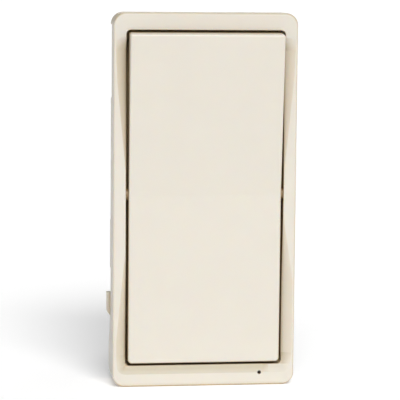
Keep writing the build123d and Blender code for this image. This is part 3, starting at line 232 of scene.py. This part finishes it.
# Plastic
PLASTIC_LUMP = 6 * MM
PLASTIC_EDGE = 0.12 * MM
PLASTIC_SHADES = (1.015, 0.985)
PLASTIC_ROUGHNESS = (0.88, 1.12)
GLOW_RADIUS = (1.0, 0.5, 0.2)
GLOW_DEPTH = 0.5 * MM

# Metal
METAL_GRAIN = 0.08 * MM
METAL_LUMP = 2.5 * MM
METAL_RELIEF = 0.002 * MM
METAL_EDGE = 0.1 * MM
METAL_SHADES = (1.04, 0.92)
METAL_ROUGHNESS = (0.75, 1.3)

# Circuit board
BOARD_ROUGHNESS = 0.32
CELL = 1.27 * MM
CELL_SCATTER = 0.6
PAD_COLOUR = (0.62, 0.6, 0.55)
TRACK_FROM = 0.16
TRACK_SHADE = 1.5
MASK_FROM = 0.3
BOARD_EDGE = 0.05 * MM
BOARD_RELIEF = 0.01 * MM
BOARD_RELIEF_STRENGTH = 0.4

# Winding: the wave texture's phase grows by WAVE_RADIANS over each unit of its coordinate
WAVE_RADIANS = 20
WIRE_WAVER = 0.4
WINDING_ROUGHNESS = 0.3
WINDING_METALLIC = 0.6
WINDING_SHADES = (1.25, 0.55)
WINDING_RELIEF = 0.05 * MM


def plastic(name, colour, roughness, grain=0.25 * MM, relief=0.004 * MM, glow=0.0):
    """Moulded plastic with a fine spark-eroded grain; glow is the share of light that scatters inside."""
    made = Shader(name, colour, roughness)
    fine = made.noise(grain, detail=3)
    made.tint(made.noise(PLASTIC_LUMP), PLASTIC_SHADES)
    made.vary_roughness(fine, PLASTIC_ROUGHNESS)
    made.soften_edges(PLASTIC_EDGE)
    made.bump(fine, relief)
    if glow:
        made.surface.inputs["Subsurface Weight"].default_value = glow
        made.surface.inputs["Subsurface Radius"].default_value = GLOW_RADIUS
        made.surface.inputs["Subsurface Scale"].default_value = GLOW_DEPTH
    return made


def metal(name, colour, roughness, stretch=(1, 1, 1)):
    """Metal with drawing or stamping marks, which are longer along an axis whose stretch is below 1."""
    made = Shader(name, colour, roughness, metallic=1.0)
    marks = made.noise(METAL_GRAIN, detail=4, stretch=stretch)
    made.tint(made.noise(METAL_LUMP, detail=3), METAL_SHADES)
    made.vary_roughness(marks, METAL_ROUGHNESS)
    made.soften_edges(METAL_EDGE)
    made.bump(marks, METAL_RELIEF)
    return made


def board(name, colour):
    """Solder mask over copper tracks, with bare pads."""
    made = Shader(name, colour, BOARD_ROUGHNESS)
    cells = made.node("ShaderNodeTexVoronoi", distance="CHEBYCHEV", Scale=1.0, Randomness=CELL_SCATTER)
    made.link(made.scaled_place((1 / CELL, 0, 1 / CELL)), cells.inputs["Vector"])
    ramp = made.node("ShaderNodeValToRGB")
    ramp.color_ramp.interpolation = "CONSTANT"
    track_colour = [part * TRACK_SHADE for part in colour]
    fill_ramp(ramp, [(0, PAD_COLOUR), (TRACK_FROM, track_colour), (MASK_FROM, colour)])
    made.link(cells.outputs["Distance"], ramp.inputs["Fac"])
    made.link(ramp.outputs["Color"], made.surface.inputs["Base Color"])
    made.soften_edges(BOARD_EDGE)
    made.bump(cells.outputs["Distance"], BOARD_RELIEF, strength=BOARD_RELIEF_STRENGTH)
    return made


def winding(name, colour, pitch, axis):
    """Wire laid in turns about an axis."""
    made = Shader(name, colour, WINDING_ROUGHNESS, metallic=WINDING_METALLIC)
    wave = made.node("ShaderNodeTexWave", wave_type="BANDS", bands_direction=axis, Scale=1.0)
    wave.inputs["Distortion"].default_value = WIRE_WAVER
    scale = 2 * math.pi / WAVE_RADIANS / pitch
    made.link(made.scaled_place((scale, scale, scale)), wave.inputs["Vector"])
    made.tint(wave.outputs["Fac"], WINDING_SHADES)
    made.bump(wave.outputs["Fac"], WINDING_RELIEF)
    return made


# Finishes, one for each material slot of the record
ALMOND = (0.66, 0.62, 0.545)
WIRE_PITCH = 1.256637 * MM
finishes = {
    made.name: made
    for made in (
        plastic("almond_frame", ALMOND, roughness=0.46, glow=0.3),
        plastic("almond_paddle", ALMOND, roughness=0.44, glow=0.3),
        # The light pipe is coloured near black: painted shade that keeps the pinhole in front of it dark.
        plastic("pipe_clear", (0.05, 0.045, 0.04), roughness=0.2),
        plastic("chassis_white", (0.5, 0.37, 0.2), roughness=0.55, glow=0.2),
        plastic("pusher_acetal", (0.8, 0.8, 0.78), roughness=0.35, glow=0.1),
        metal("spring_steel", (0.55, 0.55, 0.56), roughness=0.3),
        plastic("housing_dark", (0.018, 0.018, 0.02), roughness=0.5, grain=0.35 * MM, relief=0.012 * MM),
        metal("zinc_steel", (0.62, 0.63, 0.64), roughness=0.28),
        metal("terminal_brass", (0.75, 0.52, 0.22), roughness=0.3),
        metal("ground_green", (0.05, 0.36, 0.13), roughness=0.35),
        board("board_green", (0.012, 0.11, 0.04)),
        plastic("part_black", (0.015, 0.015, 0.016), roughness=0.5, grain=0.15 * MM),
        plastic("stem_white", (0.8, 0.8, 0.77), roughness=0.4),
        plastic("led_lens", (0.7, 0.82, 0.7), roughness=0.15, glow=0.3),
        metal("can_tin", (0.66, 0.66, 0.66), roughness=0.25, stretch=(1, 1, 0.05)),
        metal("antenna_gold", (0.85, 0.6, 0.22), roughness=0.25),
        plastic("relay_blue", (0.02, 0.06, 0.28), roughness=0.25),
        winding("winding_copper", (0.72, 0.3, 0.12), WIRE_PITCH, "Z"),
        plastic("bobbin_nylon", (0.72, 0.68, 0.56), roughness=0.45, glow=0.15),
        metal("magnet_iron", (0.42, 0.42, 0.43), roughness=0.4),
        metal("contact_silver", (0.8, 0.8, 0.78), roughness=0.25),
        metal("blade_bronze", (0.68, 0.4, 0.2), roughness=0.3, stretch=(0.05, 1, 1)),
        plastic("ferrite", (0.03, 0.03, 0.032), roughness=0.45, grain=0.12 * MM, relief=0.006 * MM),
        plastic("coil_tape", (0.78, 0.56, 0.05), roughness=0.28),
        plastic("capacitor_sleeve", (0.015, 0.02, 0.09), roughness=0.22),
        plastic("film_yellow", (0.72, 0.48, 0.04), roughness=0.4),
        plastic("varistor_blue", (0.02, 0.1, 0.32), roughness=0.3),
        plastic("resistor_body", (0.09, 0.24, 0.18), roughness=0.4),
    )
}

# Painted shade on the almond plastic: a warm brown painted into the gaps and creases, where shade falls, a
# tan painted on the slopes of the scoops, and a deeper tone painted on faces that look up, such as the
# dish. Each stop is a value and the colour that multiplies the almond there.
PLAIN = (1, 1, 1)
FRAME_REACH = 0.8 * MM
FRAME_CREASE_SHADE = [(0.3, (0.62, 0.44, 0.22)), (0.62, (0.88, 0.82, 0.7)), (0.95, PLAIN)]
PADDLE_REACH = 2.4 * MM
PADDLE_CREASE_SHADE = [(0.4, (0.4, 0.28, 0.14)), (0.75, (0.66, 0.55, 0.4)), (0.97, PLAIN)]
LEFT_SCOOP_SHADE = (0.9, 0.85, 0.76)
RIGHT_SCOOP_SHADE = (0.97, 0.93, 0.87)
UPWARD_FACE_SHADE = [(0.02, PLAIN), (0.32, (0.74, 0.7, 0.6))]


def scoop(colour):
    """Stops that paint shade on the slope of a scoop and leave the flat faces and the side walls plain."""
    return [(0.03, PLAIN), (0.35, colour), (0.6, colour), (0.85, PLAIN)]


frame_finish = finishes["almond_frame"]
# Painted shade: the frame's colour turns warm brown in its gaps and creases, where shade falls.
frame_finish.paint_shade_by(frame_finish.openness(FRAME_REACH), FRAME_CREASE_SHADE)
# Painted shade on the scoop slopes, darker on the left rail's scoops than on the right rail's.
frame_finish.paint_shade_by(frame_finish.lean(RIGHTWARD), scoop(LEFT_SCOOP_SHADE))
frame_finish.paint_shade_by(frame_finish.lean(-RIGHTWARD), scoop(RIGHT_SCOOP_SHADE))
# Painted shade: faces that look up, such as the dish by the bottom gap and the top wall, are painted
# darker.
frame_finish.paint_shade_by(frame_finish.lean(UPWARD), UPWARD_FACE_SHADE)
paddle_finish = finishes["almond_paddle"]
# Painted shade: the paddle's side walls turn dark brown where the frame's rail shades them.
paddle_finish.paint_shade_by(paddle_finish.openness(PADDLE_REACH), PADDLE_CREASE_SHADE)

slots = {row["node"]: row["material_slot"] for row in frame["record"]["subparts"]}
for node, obj in frame["nodes"].items():
    obj.data.materials.clear()
    obj.data.materials.append(finishes[slots[node]].material)

# Return springs: the CAD coil can't shorten, so a coil with one closed turn at each end stands for each
WIRE_RADIUS = 0.18 * MM
CLOSED_RISE = 0.38 * MM
OPEN_TURNS = 4
TURN_STEPS = 24
WIRE_SIDES = 10
PRESS = 1.712 * MM
HALVINGS = 30


def open_share(share, length):
    """How far along the open length a share of the open turns ends.

    The turns are spaced unevenly at rest, so that moving each place by a smooth step of the plunger's
    travel would space them evenly after a full press.
    """
    low, high = 0.0, 1.0
    for _ in range(HALVINGS):
        middle = (low + high) / 2
        moved = PRESS * middle * middle * (3 - 2 * middle)
        if length * middle - moved < (length - PRESS) * share:
            low = middle
        else:
            high = middle
    return (low + high) / 2


def wire_ring(mesh, middle, outward):
    """The corners of the wire's section at one place of the coil."""
    ring = []
    for side in range(WIRE_SIDES):
        around = 2 * math.pi * side / WIRE_SIDES
        offset = outward * math.cos(around) + BACKWARD * math.sin(around)
        ring.append(mesh.verts.new(middle + offset * WIRE_RADIUS))
    return ring


def coil_mesh(name, centre, radius, front, back):
    """A coil about a line from front to back, with its first and last turn closed."""
    open_front = front + CLOSED_RISE
    open_length = back - front - 2 * CLOSED_RISE
    turns = OPEN_TURNS + 2
    mesh = bmesh.new()
    rings = []
    for step in range(turns * TURN_STEPS + 1):
        turn = step / TURN_STEPS
        if turn < 1:
            depth = front + CLOSED_RISE * turn
        elif turn > turns - 1:
            depth = back - CLOSED_RISE * (turns - turn)
        else:
            depth = open_front + open_length * open_share((turn - 1) / OPEN_TURNS, open_length)
        angle = 2 * math.pi * turn
        outward = Vector((math.cos(angle), 0, math.sin(angle)))
        middle = Vector((centre.x, depth, centre.z)) + outward * radius
        rings.append(wire_ring(mesh, middle, outward))
    for ring, following in zip(rings, rings[1:]):
        for side in range(WIRE_SIDES):
            beside = (side + 1) % WIRE_SIDES
            corners = (ring[side], ring[beside], following[beside], following[side])
            mesh.faces.new(corners).smooth = True
    mesh.faces.new(rings[0])
    mesh.faces.new(rings[-1])
    bmesh.ops.recalc_face_normals(mesh, faces=mesh.faces)
    data = bpy.data.meshes.new(name)
    mesh.to_mesh(data)
    mesh.free()
    return data


def add_spring(name, node):
    """A spring from the plunger, at its front end, to the chassis, where its back end rests."""
    low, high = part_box(node)
    centre = (low + high) / 2
    radius = (high.x - low.x) / 2 - WIRE_RADIUS
    front, back = low.y + WIRE_RADIUS, high.y - WIRE_RADIUS
    data = coil_mesh(name, centre, radius, front, back)
    data.materials.append(finishes["spring_steel"].material)
    piece = bpy.data.objects.new(name, data)
    scene.collection.objects.link(piece)
    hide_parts(node)
    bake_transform(piece)


add_spring("upper_spring_coil", "upper_return_spring")
add_spring("lower_spring_coil", "lower_return_spring")

# Floor: it glows a little, so that it is as white as the photograph's background
FLOOR_SIZE = 12
FLOOR_COLOUR = (0.72, 0.72, 0.72)
FLOOR_ROUGHNESS = 0.9
FLOOR_LUMP = 0.05
FLOOR_SHADES = (1.005, 0.995)
FLOOR_GLOW = 0.32

# Sky: white up to a little above the horizon, and grey over that. A height is the sine of an elevation.
WHITE = (1, 1, 1)
WHITE_UP_TO = 0.11
GREY_FROM = 0.17
SKY_GREY = (0.14, 0.14, 0.14)

# Lights: the angles are in degrees
KEY_LIGHT = {"azimuth": 4, "elevation": 48, "strength": 3.0, "spread": 30}
RIM_LIGHT = {"azimuth": 160, "elevation": 20, "strength": 0.8, "spread": 50}


def add_floor(level):
    """A wide pale floor under the part."""
    bpy.ops.mesh.primitive_plane_add(size=FLOOR_SIZE, location=(0, 0, level))
    floor = bpy.context.object
    floor.name = "floor"
    made = Shader("floor", FLOOR_COLOUR, FLOOR_ROUGHNESS)
    made.tint(made.noise(FLOOR_LUMP), FLOOR_SHADES)
    made.surface.inputs["Emission Color"].default_value = (*WHITE, 1)
    made.surface.inputs["Emission Strength"].default_value = FLOOR_GLOW
    floor.data.materials.append(made.material)
    floor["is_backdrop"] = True


def add_sky():
    """The light that comes from all around."""
    world = bpy.data.worlds.new("studio")
    world.use_nodes = True
    nodes, links = world.node_tree.nodes, world.node_tree.links
    place = nodes.new("ShaderNodeTexCoord")
    height = nodes.new("ShaderNodeSeparateXYZ")
    sky = nodes.new("ShaderNodeValToRGB")
    fill_ramp(sky, [(WHITE_UP_TO, WHITE), (GREY_FROM, SKY_GREY)])
    links.new(place.outputs["Generated"], height.inputs[0])
    links.new(height.outputs["Z"], sky.inputs["Fac"])
    links.new(sky.outputs["Color"], nodes["Background"].inputs["Color"])
    scene.world = world


def add_light(name, azimuth, elevation, strength, spread):
    """A soft distant light; the angles say where it stands."""
    data = bpy.data.lights.new(name, "SUN")
    data.energy = strength
    data.angle = math.radians(spread)
    light = bpy.data.objects.new(name, data)
    scene.collection.objects.link(light)
    towards = direction(math.radians(azimuth), math.radians(elevation))
    light.rotation_euler = towards.to_track_quat("Z", "Y").to_euler()


add_floor(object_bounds()[0].z)
add_sky()
add_light("key", **KEY_LIGHT)
add_light("rim", **RIM_LIGHT)
